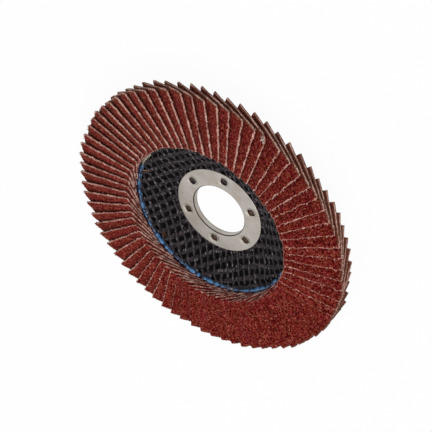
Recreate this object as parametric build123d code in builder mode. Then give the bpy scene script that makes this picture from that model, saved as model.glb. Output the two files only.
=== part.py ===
"""Flap disc, 115 mm across, for the 22.23 mm spigot of an angle grinder.

Seventy-two abrasive flaps lean on one another round a dished glass-fibre plate, bonded by an
adhesive bed, and a pressed steel ring lines the bore. The disc lies on its back with the grit
facing up. The origin is on the bore axis, at the back face of the steel ring, with +Z out of
the working side. All sizes are in millimetres and degrees.
"""
import math
import os

from build123d import *

# Steel bore ring
bore_diameter = 22.23
ring_wall = 0.9
ring_lip = 0.5
front_flange_width = 7.24
front_flange_thickness = 0.4
rear_flange_width = 4.4
rear_flange_thickness = 0.4
flange_edge_bevel = 0.15

# Gripping prongs, pierced through the front flange into the plate
prong_count = 6
prong_setback = 2.9
prong_opening = 2.1
prong_corner = 0.6
prong_wall = 0.3
prong_depth = 1.0
prong_mouth_bevel = 0.2
prong_start_angle = 53.3

# Backing plate, a dished disc of even thickness
plate_thickness = 2.0
plate_support = 16.6
hub_flat_margin = 1.85
shoulder_setback = 1.6
dish_rise = 5.0

# Glass-fibre scrim, the open weave pressed into the front of the dish
scrim_thickness = 0.3
scrim_margin = 0.15
warp_pitch = 3.6
weft_pitch = 2.85
strand_width = 1.0
weave_angle = -25.0
scrim_border = 1.15

# Abrasive flaps
flap_count = 72
flap_thickness = 0.8
flap_gap = 0.22
flap_length = 23.6
flap_width = 15.6
flap_inner_distance = 33.4
free_edge_offset = 7.8
first_flap_angle = 8.1

# Unevenness of a disc that was laid up by machine, as shares of a flap's pitch, or in mm
lay_drift = 0.1
lay_swing = 0.055
lay_creep = 0.25
lay_yaw = 0.5

# Chipped outer corner of one flap
chipped_flap = 19
chip_length = 2.2
chip_depth = 1.1

# Adhesive bed and the bead that it squeezes out inside the flaps
bed_thickness = 1.3
bed_under_flap = 0.4
bed_rim_margin = 0.8
bead_width = 1.6
bead_height = 2.1
bead_slope = 0.7
bead_clearance = 0.05

# Heights and radii that follow from the sizes above
bore_radius = bore_diameter / 2
collar_radius = bore_radius + ring_wall
front_flange_radius = bore_radius + front_flange_width
rear_flange_radius = bore_radius + rear_flange_width
prong_circle_radius = collar_radius + prong_setback
prong_outside = prong_opening + 2 * prong_wall
bed_inner_radius = flap_inner_distance - bead_width
plate_radius = flap_inner_distance + plate_support
bed_outer_radius = plate_radius - bed_rim_margin
hub_flat_radius = front_flange_radius + hub_flat_margin
shoulder_radius = bed_inner_radius - shoulder_setback
hub_back = rear_flange_thickness
hub_front = hub_back + plate_thickness
ring_front = hub_front + front_flange_thickness
hub_middle = hub_back + plate_thickness / 2
bed_floor = hub_front + dish_rise
flap_pitch = 360 / flap_count
flap_step = flap_inner_distance * math.radians(flap_pitch)
flap_tilt = math.degrees(math.asin((flap_thickness + flap_gap) / flap_step))
dish_slope = math.degrees(math.atan2(dish_rise, shoulder_radius - hub_flat_radius))


def dish_points(lift, inner_radius, outer_radius):
    """Corners of the dish's section line, lifted off the middle of the plate at right angles."""
    shift = lift * math.tan(math.radians(dish_slope / 2))
    low = hub_middle + lift
    high = low + dish_rise
    return [
        (inner_radius, low),
        (hub_flat_radius - shift, low),
        (shoulder_radius - shift, high),
        (outer_radius, high),
    ]


def dish_section(low_lift, high_lift, inner_radius, outer_radius):
    """Adds the section between two lifted dish lines to the sketch in hand."""
    low = dish_points(low_lift, inner_radius, outer_radius)
    high = dish_points(high_lift, inner_radius, outer_radius)
    Polygon(*low, *reversed(high), align=None)


def wave(index, turns, start=0.0):
    """One value of an even ripple that closes on itself after the last flap."""
    return math.sin(2 * math.pi * turns * index / flap_count + start)


def flap_angle(index):
    """Angle of a flap's radial line, with the slow drift and quick swing of its place."""
    drift = wave(index, 3, 1.05)
    swing = 0.6 * wave(index, 27) + 0.4 * wave(index, 11, 1.0)
    return first_flap_angle + flap_pitch * (index + lay_drift * drift + lay_swing * swing)


def flap_plane(index):
    """Plane of a flap's grit face: x outwards, y from the free edge down to the glued edge."""
    angle = math.radians(flap_angle(index))
    tilt = math.radians(flap_tilt)
    outwards = Vector(math.cos(angle), math.sin(angle), 0)
    across = Vector(-math.sin(angle), math.cos(angle), 0)
    normal = across * math.sin(tilt) + Vector(0, 0, math.cos(tilt))
    return Plane(
        origin=across * -free_edge_offset + Vector(0, 0, free_edge_height),
        x_dir=outwards,
        z_dir=normal,
    )


def flap_outline(index):
    """Adds a flap's outline to the sketch in hand, with its own small creep and yaw."""
    middle = flap_inner_distance + flap_length / 2 + lay_creep * wave(index, 17)
    yaw = lay_yaw * wave(index, 23, 2.0)
    with Locations((middle, flap_width / 2)):
        Rectangle(flap_length, flap_width, rotation=yaw)
    if index == chipped_flap:
        corner = flap_inner_distance + flap_length + lay_creep
        chip = [
            (corner - chip_length, -chip_depth),
            (corner - chip_length, 0.1 * chip_depth),
            (corner - 0.6 * chip_length, 0.4 * chip_depth),
            (corner - 0.35 * chip_length, 1.1 * chip_depth),
            (corner + chip_depth, 1.8 * chip_depth),
            (corner + chip_depth, -chip_depth),
        ]
        Polygon(*chip, align=None, mode=Mode.SUBTRACT)


# The glued edge of each flap stands in the bed, so the free edge's height follows
glued_edge_drop = (
    flap_width * math.sin(math.radians(flap_tilt))
    + flap_thickness * math.cos(math.radians(flap_tilt))
)
free_edge_height = bed_floor + bed_under_flap + glued_edge_drop

# Steel ring: front flange, collar through the plate, and the end rolled back as a rear flange.
# Each lip of the bore turns in a short cone
with BuildPart() as steel_ring:
    with BuildSketch(Plane.XZ):
        with BuildLine():
            Polyline(
                (bore_radius + ring_lip, 0),
                (rear_flange_radius, 0),
                (rear_flange_radius, hub_back),
                (collar_radius, hub_back),
                (collar_radius, hub_front),
                (front_flange_radius, hub_front),
                (front_flange_radius, ring_front - flange_edge_bevel),
                (front_flange_radius - flange_edge_bevel, ring_front),
                (bore_radius + ring_lip, ring_front),
                (bore_radius, ring_front - ring_lip),
                (bore_radius, ring_lip),
                close=True,
            )
        make_face()
    revolve(axis=Axis.Z)

    # Each prong is a squarish lip turned down through the flange
    with BuildSketch(Plane.XY.offset(hub_front)):
        with PolarLocations(prong_circle_radius, prong_count, start_angle=prong_start_angle):
            RectangleRounded(prong_outside, prong_outside, prong_corner + prong_wall)
    extrude(amount=-prong_depth)
    with BuildSketch(Plane.XY.offset(ring_front)):
        with PolarLocations(prong_circle_radius, prong_count, start_angle=prong_start_angle):
            RectangleRounded(prong_opening, prong_opening, prong_corner)
    extrude(amount=-(front_flange_thickness + prong_depth), mode=Mode.SUBTRACT)
    front_face = steel_ring.faces().filter_by(GeomType.PLANE).sort_by(Axis.Z)[-1]
    mouths = [wire for wire in front_face.inner_wires() if wire.length < 4 * prong_outside]
    chamfer([edge for mouth in mouths for edge in mouth.edges()], prong_mouth_bevel)

# Backing plate: resin-bonded glass fibre, dished so that the nut sits below the flaps
with BuildPart() as backing_plate:
    with BuildSketch(Plane.XZ):
        dish_section(-plate_thickness / 2, plate_thickness / 2, collar_radius, plate_radius)
    revolve(axis=Axis.Z)
    with BuildSketch(Plane.XY.offset(hub_front)):
        with PolarLocations(prong_circle_radius, prong_count, start_angle=prong_start_angle):
            RectangleRounded(prong_outside, prong_outside, prong_corner + prong_wall)
    extrude(amount=-prong_depth, mode=Mode.SUBTRACT)

# Scrim: crossing bundles of glass over the dish, with an open cell between each four
scrim_inner = front_flange_radius + scrim_margin
scrim_outer = bed_inner_radius - scrim_margin
cell_length = warp_pitch - strand_width
cell_width = weft_pitch - strand_width
cell_reach = math.hypot(cell_length, cell_width) / 2 + scrim_border
cell_span = math.ceil(scrim_outer / weft_pitch)
cell_centres = [
    (column * warp_pitch, row * weft_pitch)
    for column in range(-cell_span, cell_span + 1)
    for row in range(-cell_span, cell_span + 1)
]
open_cells = [
    centre
    for centre in cell_centres
    if scrim_inner + cell_reach < math.hypot(*centre) < scrim_outer - cell_reach
]
with BuildPart() as glass_scrim:
    with BuildSketch(Plane.XZ):
        dish_section(
            plate_thickness / 2, plate_thickness / 2 + scrim_thickness, scrim_inner, scrim_outer
        )
    revolve(axis=Axis.Z)
    with BuildSketch():
        with Locations(Location((0, 0, 0), (0, 0, weave_angle))):
            with Locations(*open_cells):
                Rectangle(cell_length, cell_width)
    extrude(amount=bed_floor + plate_thickness, mode=Mode.SUBTRACT)

# Flaps: cloth with grit on its upper face, two neighbours to a node
flap_pairs = []
for first in range(0, flap_count, 2):
    with BuildPart() as flap_pair:
        for number in range(first, min(first + 2, flap_count)):
            with BuildSketch(flap_plane(number)):
                flap_outline(number)
            extrude(amount=-flap_thickness)
    flap_pair.part.label = f"flap_pair_{first // 2 + 1:02d}"
    flap_pairs.append(flap_pair.part)

# Adhesive: a bed under the flaps and a bead inside them, with a slot for each glued edge
with BuildPart() as adhesive:
    bead_foot_radius = flap_inner_distance - lay_creep - bead_clearance
    with BuildSketch(Plane.XZ):
        with BuildLine():
            Polyline(
                (bed_inner_radius, bed_floor),
                (bed_outer_radius, bed_floor),
                (bed_outer_radius, bed_floor + bed_thickness),
                (bead_foot_radius, bed_floor + bed_thickness),
                (bed_inner_radius + bead_slope, bed_floor + bead_height),
                (bed_inner_radius, bed_floor + bead_height - bead_slope),
                close=True,
            )
        make_face()
    revolve(axis=Axis.Z)
    add(flap_pairs, mode=Mode.SUBTRACT)

steel_ring.part.label = "steel_ring"
backing_plate.part.label = "backing_plate"
glass_scrim.part.label = "glass_scrim"
adhesive.part.label = "adhesive"

os.makedirs("parts", exist_ok=True)
export_step(steel_ring.part, "parts/steel_ring.step")
export_step(backing_plate.part, "parts/backing_plate.step")
export_step(glass_scrim.part, "parts/glass_scrim.step")
export_step(adhesive.part, "parts/adhesive.step")
for pair in flap_pairs:
    export_step(pair, f"parts/{pair.label}.step")

print("flap tilt", round(flap_tilt, 2), "free edge height", round(free_edge_height, 2))
print("open cells in the scrim", len(open_cells))
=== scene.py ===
"""Looks of a 115 mm flap disc: abrasive cloth flaps on a dished glass-fibre plate with a steel bore ring.

Sizes are in millimetres unless a name says otherwise, and meshes are written in metres. The disc
lies on its back: +Z points out of the working side, and the bore is on the Z axis.
"""

import logging
import math
from contextlib import contextmanager
from dataclasses import dataclass, field
from enum import Enum
from typing import Any, Callable, Iterator

import bmesh
import bpy
import numpy as np
from bpy.types import Material, Mesh, NodeSocket, NodeTree, Object
from mathutils import Matrix, Quaternion, Vector

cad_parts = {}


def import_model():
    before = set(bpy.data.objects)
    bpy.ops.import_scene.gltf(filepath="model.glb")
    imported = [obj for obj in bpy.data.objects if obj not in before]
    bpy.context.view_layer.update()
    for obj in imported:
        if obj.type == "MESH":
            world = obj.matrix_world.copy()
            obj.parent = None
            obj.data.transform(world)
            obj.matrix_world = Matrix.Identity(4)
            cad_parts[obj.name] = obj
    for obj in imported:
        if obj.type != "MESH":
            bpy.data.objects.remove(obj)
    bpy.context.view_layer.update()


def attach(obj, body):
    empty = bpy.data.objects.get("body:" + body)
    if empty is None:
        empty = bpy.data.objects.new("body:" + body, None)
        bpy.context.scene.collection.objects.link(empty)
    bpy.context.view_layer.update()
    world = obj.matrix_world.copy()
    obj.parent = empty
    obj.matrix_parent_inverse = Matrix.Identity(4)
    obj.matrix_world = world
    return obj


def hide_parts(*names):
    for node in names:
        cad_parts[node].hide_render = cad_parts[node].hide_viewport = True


LOG = logging.getLogger("flap_disc")
MM = 0.001
Colour = tuple[float, float, float, float]


# Small tools shared by the finishes and the pieces


def hex_to_linear(code: str) -> Colour:
    """Turns an sRGB hex colour into linear light.

    Args:
        code: A colour such as "#7A3228".

    Returns:
        Red, green, blue and an alpha of 1.
    """
    parts = [int(code[i : i + 2], 16) / 255 for i in (1, 3, 5)]
    red, green, blue = (
        part / 12.92 if part <= 0.04045 else ((part + 0.055) / 1.055) ** 2.4 for part in parts
    )
    return red, green, blue, 1.0


def add_node(
    tree: NodeTree, kind: str, inputs: dict[str | int, Any] | None = None,
    stops: list[tuple[float, str]] | None = None, **settings: Any
) -> bpy.types.bpy_prop_collection:
    """Adds a shader node with its settings, values and links.

    Args:
        tree: The material's or world's node tree.
        kind: Blender's name for the kind of node, without "ShaderNode" in front.
        inputs: For each input, the output socket that feeds it, a value, or an sRGB hex colour.
        stops: A colour ramp's stops, each a place from 0 to 1 and an sRGB hex colour.
        settings: The node's own options.

    Returns:
        The new node's output sockets.
    """
    node = tree.nodes.new("ShaderNode" + kind)
    for option, value in settings.items():
        setattr(node, option, value)
    for socket, value in (inputs or {}).items():
        if isinstance(value, NodeSocket):
            tree.links.new(value, node.inputs[socket])
        else:
            plain = hex_to_linear(value) if isinstance(value, str) else value
            node.inputs[socket].default_value = plain
    if stops:
        ramp = node.color_ramp
        while len(ramp.elements) < len(stops):
            ramp.elements.new(1.0)
        for element, (place, code) in zip(ramp.elements, stops):
            element.position = place
            element.color = hex_to_linear(code)
    return node.outputs


def read_points(mesh: Mesh) -> np.ndarray:
    """Gives a mesh's vertices in millimetres, one row each."""
    flat = np.empty(len(mesh.vertices) * 3)
    mesh.vertices.foreach_get("co", flat)
    return flat.reshape(-1, 3) / MM


def write_points(mesh: Mesh, points: np.ndarray) -> None:
    """Puts a mesh's vertices at these points, given in millimetres."""
    mesh.vertices.foreach_set("co", (points * MM).ravel())
    mesh.update()


def write_attribute(mesh: Mesh, name: str, values: np.ndarray) -> None:
    """Stores a number or a vector for each vertex, for the materials to read.

    Args:
        mesh: The mesh that gets the attribute.
        name: The attribute's name.
        values: One number, or one row of three, for each vertex.
    """
    if values.ndim == 1:
        layer = mesh.attributes.new(name, "FLOAT", "POINT")
        layer.data.foreach_set("value", values.astype(np.float32))
    else:
        layer = mesh.attributes.new(name, "FLOAT_VECTOR", "POINT")
        layer.data.foreach_set("vector", values.astype(np.float32).ravel())


def value_noise(x: np.ndarray, y: np.ndarray, cell: float, seed: int) -> np.ndarray:
    """Smooth random heights between -1 and 1, the same on each run.

    Args:
        x: First coordinates.
        y: Second coordinates.
        cell: Size of one swell, in the units of the coordinates.
        seed: Number of the pattern.

    Returns:
        A height for each point.
    """
    size = 64
    grid = np.random.default_rng(seed).uniform(-1, 1, (size, size))
    u, v = x / cell, y / cell
    i, j = np.floor(u).astype(int), np.floor(v).astype(int)
    a, b = u - i, v - j
    a, b = a * a * (3 - 2 * a), b * b * (3 - 2 * b)
    i, j, i1, j1 = i % size, j % size, (i + 1) % size, (j + 1) % size
    low = grid[i, j] * (1 - a) + grid[i1, j] * a
    high = grid[i, j1] * (1 - a) + grid[i1, j1] * a
    return low * (1 - b) + high * b


def smooth_step(low: float, high: float, value: np.ndarray) -> np.ndarray:
    """Rises smoothly from 0 at low to 1 at high."""
    t = np.clip((value - low) / (high - low), 0, 1)
    return t * t * (3 - 2 * t)


def add_primitive(add: Callable[..., Any], name: str, **settings: Any) -> Object:
    """Adds a primitive with nothing else selected.

    Args:
        add: The operator that adds it.
        name: The new object's name.
        settings: The operator's own sizes and place.

    Returns:
        The new object, selected and active.
    """
    bpy.ops.object.select_all(action="DESELECT")
    add(**settings)
    piece = bpy.context.active_object
    piece.name = name
    piece.data.name = name
    return piece


@contextmanager
def editing(piece: Object) -> Iterator[None]:
    """Opens a piece in edit mode for the steps inside."""
    bpy.context.view_layer.objects.active = piece
    piece.select_set(True)
    bpy.ops.object.mode_set(mode="EDIT")
    yield
    bpy.ops.object.mode_set(mode="OBJECT")


class Part(Enum):
    """What a selection in edit mode is made of."""

    VERTICES = "VERT"
    EDGES = "EDGE"
    FACES = "FACE"


def pick(piece: Object, part: Part, test: Callable[[Any], bool]) -> None:
    """Selects, in edit mode, the parts that pass a test of their place.

    Args:
        piece: The object in edit mode.
        part: Whether vertices, edges or faces are selected.
        test: Gets each part's middle, or the vertex's place, in millimetres.
    """
    bpy.ops.mesh.select_mode(type=part.value)
    bpy.ops.mesh.select_all(action="DESELECT")
    shape = bmesh.from_edit_mesh(piece.data)
    members = {Part.VERTICES: shape.verts, Part.EDGES: shape.edges, Part.FACES: shape.faces}[part]
    for member in members:
        if part is Part.VERTICES:
            middle = member.co / MM
        else:
            middle = sum((v.co for v in member.verts), Vector()) / len(member.verts) / MM
        if test(middle):
            member.select_set(True)
    shape.select_flush_mode()
    bmesh.update_edit_mesh(piece.data)


def extrude_by(x: float = 0.0, y: float = 0.0, z: float = 0.0) -> None:
    """Extrudes the selection by an offset in millimetres."""
    bpy.ops.mesh.extrude_region_move(TRANSFORM_OT_translate={"value": (x * MM, y * MM, z * MM)})


def clean_shell() -> None:
    """Merges doubles and turns every face outwards, in edit mode."""
    bpy.ops.mesh.select_all(action="SELECT")
    bpy.ops.mesh.remove_doubles(threshold=0.001 * MM)
    bpy.ops.mesh.normals_make_consistent(inside=False)


def apply_modifier(piece: Object, kind: str, **settings: Any) -> None:
    """Adds a modifier with its settings and applies it."""
    modifier = piece.modifiers.new(kind.title(), kind)
    for option, value in settings.items():
        setattr(modifier, option, value)
    bpy.context.view_layer.objects.active = piece
    bpy.ops.object.modifier_apply(modifier=modifier.name)


def turn_outline(name: str, outline: np.ndarray, steps: int) -> Object:
    """Spins a closed outline round the bore axis.

    Args:
        name: The piece's name.
        outline: Radius and height of each corner, in order round the outline.
        steps: Number of faces round the axis.

    Returns:
        The closed ring.
    """
    ring = add_primitive(bpy.ops.mesh.primitive_circle_add, name, vertices=len(outline), radius=10 * MM)
    write_points(ring.data, np.column_stack([outline[:, 0], 0 * outline[:, 0], outline[:, 1]]))
    with editing(ring):
        bpy.ops.mesh.select_all(action="SELECT")
        bpy.ops.mesh.spin(
            steps=steps, angle=2 * math.pi, center=(0, 0, 0), axis=(0, 0, 1), use_auto_merge=True
        )
        clean_shell()
    return ring


def join_pieces(pieces: list[Object]) -> Object:
    """Joins pieces into the first of them."""
    bpy.ops.object.select_all(action="DESELECT")
    for piece in pieces:
        piece.select_set(True)
    bpy.context.view_layer.objects.active = pieces[0]
    bpy.ops.object.join()
    return pieces[0]


def hand_over(piece: Object, nodes: list[str], smooth_angle: float = 40.0) -> Object:
    """Smooths a piece, ties it to the disc and says which solids it stands for.

    Args:
        piece: The finished piece.
        nodes: The solids that the piece replaces.
        smooth_angle: Edges sharper than this, in degrees, stay sharp.

    Returns:
        The same piece.
    """
    bpy.ops.object.select_all(action="DESELECT")
    piece.select_set(True)
    bpy.context.view_layer.objects.active = piece
    bpy.ops.object.shade_smooth_by_angle(angle=math.radians(smooth_angle))
    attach(piece, "root")
    if nodes:
        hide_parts(*nodes)
    LOG.info("%s: %d faces, for %s", piece.name, len(piece.data.polygons), nodes or "nothing")
    return piece


# Finishes


@dataclass(frozen=True)
class Finish:
    """A finish that paints one material."""

    name: str = "finish"

    def make(self) -> Material:
        """Builds the material with this finish's nodes."""
        material = bpy.data.materials.new(self.name)
        material.use_nodes = True
        tree = material.node_tree
        tree.nodes.clear()
        shader = add_node(tree, "BsdfPrincipled", self.paint(tree))
        add_node(tree, "OutputMaterial", {"Surface": shader[0]})
        return material

    def paint(self, tree: NodeTree) -> dict[str, Any]:
        """Adds the finish's own nodes and gives the shader's inputs. Each finish has its own."""
        raise NotImplementedError


@dataclass(frozen=True)
class GritCoat(Finish):
    """Fused aluminium oxide grains in red-brown phenolic resin, electrostatically coated.

    To the eye it is a rough, matt brick red whose grains vary in tone, with painted shade in the hollows
    and painted highlights on a few pale grain tips. Along the free edge the coat has broken away here and
    there, and the outer end is greyed by dust.
    """

    name: str = "aluminium_oxide_grit"
    grain: float = 0.5
    # The ramp runs from painted shade in the hollows, through the coat, to painted highlights on the crests and glints
    shaded_hollow: str = "#340704"
    coat: str = "#681912"
    lit_crest: str = "#8F3D32"
    glint: str = "#C08478"
    thread: str = "#C08A7C"
    dust: str = "#684E3E"
    wear: float = 0.1
    flap_length: float = 23.6

    def paint(self, tree: NodeTree) -> dict[str, Any]:
        """Mixes grains, slow colour drift and the worn edge, and gives the grains relief."""
        lay = add_node(tree, "Attribute", attribute_name="lay")["Vector"]
        tone = add_node(tree, "Attribute", attribute_name="tone")["Fac"]
        shift = add_node(tree, "CombineXYZ", {0: tone, 1: tone, 2: tone})[0]
        place = add_node(
            tree, "VectorMath", {0: shift, 1: (613.0, 271.0, 97.0), 2: lay}, operation="MULTIPLY_ADD"
        )[0]
        grains = add_node(tree, "TexVoronoi", {"Vector": place, "Scale": 1 / self.grain})
        speck = add_node(tree, "TexNoise", {"Vector": place, "Scale": 0.75 / self.grain, "Detail": 3.0})
        drift = add_node(tree, "TexNoise", {"Vector": place, "Scale": 0.3, "Detail": 3.0})
        random = add_node(tree, "SeparateColor", {"Color": grains["Color"]})
        shade = add_node(tree, "Math", {0: random[0], 1: 0.27, 2: speck[0]}, operation="MULTIPLY_ADD")[0]
        # Grain tone varies at random; the dark end is painted shade in the hollows, the pale end painted highlights on
        # crests and glints
        colours = add_node(tree, "ValToRGB", {0: shade}, stops=[(0.42, self.shaded_hollow), (0.6, self.coat), (0.8, self.lit_crest), (1.0, self.glint)])
        level = add_node(tree, "Math", {0: drift[0], 1: 0.7, 2: 0.6}, operation="MULTIPLY_ADD")[0]
        level = add_node(tree, "Math", {0: tone, 1: 0.14, 2: level}, operation="MULTIPLY_ADD")[0]
        # The resin's colour wanders between orange brown and wine red over a millimetre or two
        hue_cloud = add_node(tree, "TexNoise", {"Vector": place, "Scale": 0.75, "Detail": 1.0})[0]
        hue = add_node(tree, "MapRange", {0: hue_cloud, 1: 0.3, 2: 0.7, 3: 0.49, 4: 0.507})[0]
        toned = add_node(tree, "HueSaturation", {"Hue": hue, "Color": colours[0], "Value": level})[0]

        # The worn border follows the free edge closely and the two ends more narrowly
        axes = add_node(tree, "SeparateXYZ", {0: lay})
        far_end = add_node(tree, "Math", {0: self.flap_length, 1: axes[0]}, operation="SUBTRACT")[0]
        ends = add_node(tree, "Math", {0: far_end, 1: axes[0]}, operation="MINIMUM")[0]
        rim = add_node(tree, "Math", {0: ends, 1: axes[1]}, operation="MINIMUM")[0]
        ragged = add_node(tree, "TexNoise", {"Vector": place, "Scale": 1.6, "Detail": 2.0})[0]
        rim = add_node(tree, "Math", {0: ragged, 1: -0.6, 2: rim}, operation="MULTIPLY_ADD")[0]
        worn = add_node(
            tree, "MapRange", {0: rim, 1: self.wear - 0.36, 2: self.wear - 0.24, 3: 1.0, 4: 0.0}
        )[0]
        fray = add_node(tree, "Attribute", attribute_name="fray")["Fac"]
        worn = add_node(tree, "Math", {0: worn, 1: fray}, operation="MULTIPLY")[0]
        dusty = add_node(tree, "Math", {0: ragged, 1: 1.6, 2: far_end}, operation="MULTIPLY_ADD")[0]
        dusty = add_node(tree, "MapRange", {0: dusty, 1: 1.0, 2: 1.9, 3: 0.75, 4: 0.0})[0]
        greyed = add_node(tree, "Mix", {0: dusty, 6: toned, 7: self.dust}, data_type="RGBA")[2]
        base = add_node(tree, "Mix", {0: worn, 6: greyed, 7: self.thread}, data_type="RGBA")[2]
        height = add_node(
            tree, "Math", {0: grains["Distance"], 1: -0.8, 2: speck[0]}, operation="MULTIPLY_ADD"
        )[0]
        bump = add_node(tree, "Bump", {"Height": height, "Strength": 0.8, "Distance": 0.25 * MM})[0]
        return {
            "Base Color": base,
            "Normal": bump,
            "Roughness": 0.75,
            "Specular IOR Level": 0.02,
            # Grain tips catch the light when the coat is seen at a low angle
            "Sheen Weight": 0.16,
            "Sheen Tint": "#FFD2B4",
            "Sheen Roughness": 0.3,
        }


@dataclass(frozen=True)
class CutClothEdge(Finish):
    """Raw die-cut edge of a coated cotton and polyester cloth.

    The upper lip is worn to pale pink yarn ends. Under it the edge is dark, size-soaked cloth, painted
    darker as the shade under the lip, and at the disc's rim it has greyed to a dusty olive.
    """

    name: str = "cut_cloth_edge"
    yarn_spacing: float = 0.8
    gap: str = "#9C6152"
    yarn: str = "#CFA090"
    tip: str = "#E8D0C4"
    coat: str = "#8A3A2E"
    # Dark size-soaked cloth, painted darker still as the shade under the lip
    soaked_and_shaded: str = "#52201A"
    dust: str = "#7A5749"
    shade: str = "#3A2019"
    bleached: str = "#DCCBC2"
    lip: float = 0.6
    flap_length: float = 23.6

    def paint(self, tree: NodeTree) -> dict[str, Any]:
        """Lays pale yarn ends over the dark lower part of the cut, which is partly painted shade, by depth under the
        grit.
        """
        lay = add_node(tree, "Attribute", attribute_name="lay")["Vector"]
        tone = add_node(tree, "Attribute", attribute_name="tone")["Fac"]
        frayed = add_node(tree, "Attribute", attribute_name="frayed")["Fac"]
        axes = add_node(tree, "SeparateXYZ", {0: lay})
        along = add_node(tree, "Math", {0: axes[0], 1: axes[1]}, operation="ADD")[0]
        along = add_node(tree, "Math", {0: tone, 1: 431.0, 2: along}, operation="MULTIPLY_ADD")[0]
        place = add_node(tree, "CombineXYZ", {0: along, 1: axes[2]})[0]
        yarns = add_node(
            tree, "TexNoise",
            {"Vector": place, "Scale": 1 / self.yarn_spacing, "Detail": 3.0, "Roughness": 0.6}
        )[0]
        pale = add_node(tree, "ValToRGB", {0: yarns}, stops=[(0.32, self.gap), (0.5, self.yarn), (0.76, self.tip)])
        # The lower cut is dark red cloth and coat, painted darker as the shade under the lip
        dark = add_node(tree, "ValToRGB", {0: yarns}, stops=[(0.35, self.soaked_and_shaded), (0.65, self.coat)])
        dusty = add_node(tree, "ValToRGB", {0: yarns}, stops=[(0.35, self.shade), (0.6, self.dust)])
        at_rim = add_node(
            tree, "MapRange", {0: axes[0], 1: self.flap_length - 1.0, 2: self.flap_length - 0.3}
        )[0]
        lower = add_node(tree, "Mix", {0: at_rim, 6: dark[0], 7: dusty[0]}, data_type="RGBA")[2]
        # The pale lip is narrower at the disc's rim, and its lower limit wanders with the yarns
        reach = add_node(tree, "MapRange", {0: at_rim, 3: self.lip, 4: 0.65 * self.lip})[0]
        fray = add_node(tree, "Attribute", attribute_name="fray")["Fac"]
        fray = add_node(tree, "MapRange", {0: fray, 3: -0.35, 4: 1.0})[0]
        reach = add_node(tree, "Math", {0: reach, 1: fray}, operation="MULTIPLY")[0]
        # On the inner end some stretches are bare yarn to the back and others are still red
        at_hub = add_node(tree, "MapRange", {0: axes[0], 1: 0.3, 2: 1.0, 3: 1.0, 4: 0.0})[0]
        patches = add_node(tree, "TexNoise", {"Vector": place, "Scale": 0.3, "Detail": 1.0})[0]
        patches = add_node(tree, "MapRange", {0: patches, 1: 0.38, 2: 0.62, 3: 0.1, 4: 0.8})[0]
        reach = add_node(tree, "Mix", {0: at_hub, 2: reach, 3: patches}, data_type="FLOAT")[0]
        depth = add_node(tree, "Math", {0: axes[2], 1: reach}, operation="SUBTRACT")[0]
        depth = add_node(tree, "Math", {0: yarns, 1: -0.4, 2: depth}, operation="MULTIPLY_ADD")[0]
        lip = add_node(tree, "MapRange", {0: depth, 1: -0.26, 2: -0.14, 3: 1.0, 4: 0.0})[0]
        lip = add_node(tree, "Math", {0: lip, 1: frayed}, operation="MAXIMUM")[0]
        base = add_node(tree, "Mix", {0: lip, 6: lower, 7: pale[0]}, data_type="RGBA")[2]
        bleach = add_node(tree, "MapRange", {0: frayed, 1: 1.0, 2: 2.0})[0]
        base = add_node(tree, "Mix", {0: bleach, 6: base, 7: self.bleached}, data_type="RGBA")[2]
        bump = add_node(tree, "Bump", {"Height": yarns, "Strength": 0.7, "Distance": 0.2 * MM})[0]
        return {
            "Base Color": base, "Normal": bump, "Roughness": 0.9, "Specular IOR Level": 0.15,
            "Sheen Weight": 0.1, "Sheen Roughness": 0.6
        }


@dataclass(frozen=True)
class ClothBack(Finish):
    """Woven polyester-cotton backing, sized with brown resin and calendered.

    The eye gets a dull olive tan with the twill's fine ribs.
    """

    name: str = "sized_backing_cloth"
    yarn_pitch: float = 0.8
    low: str = "#54452F"
    high: str = "#86745A"

    def paint(self, tree: NodeTree) -> dict[str, Any]:
        """Draws the ribs in both directions; real yarns are 0.4 mm apart, drawn at twice that."""
        lay = add_node(tree, "Attribute", attribute_name="lay")["Vector"]
        tone = add_node(tree, "Attribute", attribute_name="tone")["Fac"]
        ribs = [
            add_node(
                tree,
                "TexWave",
                {"Vector": lay, "Scale": 0.5 / self.yarn_pitch * math.pi / 2, "Distortion": 1.5},
                bands_direction=direction,
            )[1]
            for direction in ("X", "Y")
        ]
        weave = add_node(tree, "Math", {0: ribs[0], 1: ribs[1]}, operation="MULTIPLY")[0]
        cloud = add_node(tree, "TexNoise", {"Vector": lay, "Scale": 0.6, "Detail": 3.0})[0]
        mixed = add_node(tree, "Math", {0: weave, 1: 0.5, 2: cloud}, operation="MULTIPLY_ADD")[0]
        mixed = add_node(tree, "Math", {0: tone, 1: 0.2, 2: mixed}, operation="MULTIPLY_ADD")[0]
        colours = add_node(tree, "ValToRGB", {0: mixed}, stops=[(0.35, self.low), (0.95, self.high)])
        bump = add_node(tree, "Bump", {"Height": weave, "Strength": 0.5, "Distance": 0.15 * MM})[0]
        return {"Base Color": colours[0], "Normal": bump, "Roughness": 0.8, "Specular IOR Level": 0.3}


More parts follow.
